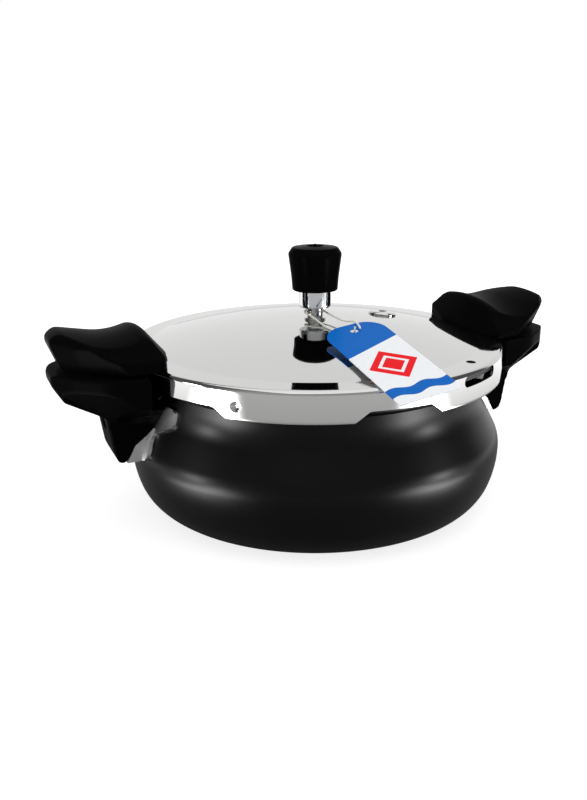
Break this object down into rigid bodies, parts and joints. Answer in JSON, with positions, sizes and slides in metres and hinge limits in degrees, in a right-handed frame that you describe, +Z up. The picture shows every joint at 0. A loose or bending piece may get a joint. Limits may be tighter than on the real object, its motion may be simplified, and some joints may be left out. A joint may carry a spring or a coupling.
{
  "type": "stovetop pressure cooker",
  "caption": "Bulged pressure cooker with a domed outer lid that turns and locks under lugs, short ear handles, a weight valve, a fusible safety valve and a hang tag.",
  "frame": {"origin": "centre of the pot's base, on the plane that it rests on", "axes": "+X along the line through both handles, towards the handle nearer the gasket release slot; +Z up; +Y to the back"},
  "size_m": [0.3212, 0.2469, 0.1583],
  "materials": {
    "anodised_pot": "glossy black hard anodising",
    "plain_steel": "plain pressed steel",
    "plain_aluminium": "plain",
    "bakelite": "moulded black phenolic with a satin sheen",
    "seal_rubber": "matt black",
    "polished_steel": "mirror-polished stainless steel",
    "valve_rubber": "matt red-brown",
    "nut_brass": "plain",
    "fuse_metal": "dull cast alloy",
    "cap_plastic": "glossy black phenolic",
    "weight_chrome": "bright plated",
    "white_string": "twisted cotton",
    "tag_card": "coated printed card"
  },
  "bodies": {
    "pot": {"pot_shell": "anodised_pot", "saddle_left": "plain_steel", "saddle_right": "plain_steel", "saddle_rivets": "plain_aluminium", "pot_handle_left": "bakelite", "pot_handle_right": "bakelite", "pot_handle_screws": "plain_steel"},
    "seal": {"gasket": "seal_rubber"},
    "lid": {"lid_shell": "polished_steel", "lid_strap_left": "plain_steel", "lid_strap_right": "plain_steel", "lid_handle_left": "bakelite", "lid_handle_right": "bakelite", "lid_handle_screws": "plain_steel", "vent_tube": "polished_steel", "vent_washer": "valve_rubber", "vent_nut": "nut_brass", "safety_valve_body": "polished_steel", "fusible_plug": "fuse_metal", "safety_washer": "valve_rubber", "safety_nut": "nut_brass", "tag_string": "white_string", "hang_tag": "tag_card"},
    "pin": {"valve_pin": "polished_steel"},
    "weight": {"weight_cap": "cap_plastic", "weight_body": "weight_chrome"}
  },
  "joints": [
    {"name": "lid_lift", "type": "slide", "parent": "pot", "child": "seal", "axis": [0, 0, 1], "range_m": [0, 0.06]},
    {"name": "lid_turn", "type": "hinge", "parent": "seal", "child": "lid", "pos_m": [0, 0, 0.1], "axis": [0, 0, 1], "range_deg": [0, 30]},
    {"name": "weight_lift", "type": "slide", "parent": "lid", "child": "pin", "axis": [0, 0, 1], "range_m": [0, 0.03]},
    {"name": "weight_spin", "type": "hinge", "parent": "pin", "child": "weight", "pos_m": [0, 0, 0.13], "axis": [0, 0, 1], "continuous": true}
  ]
}
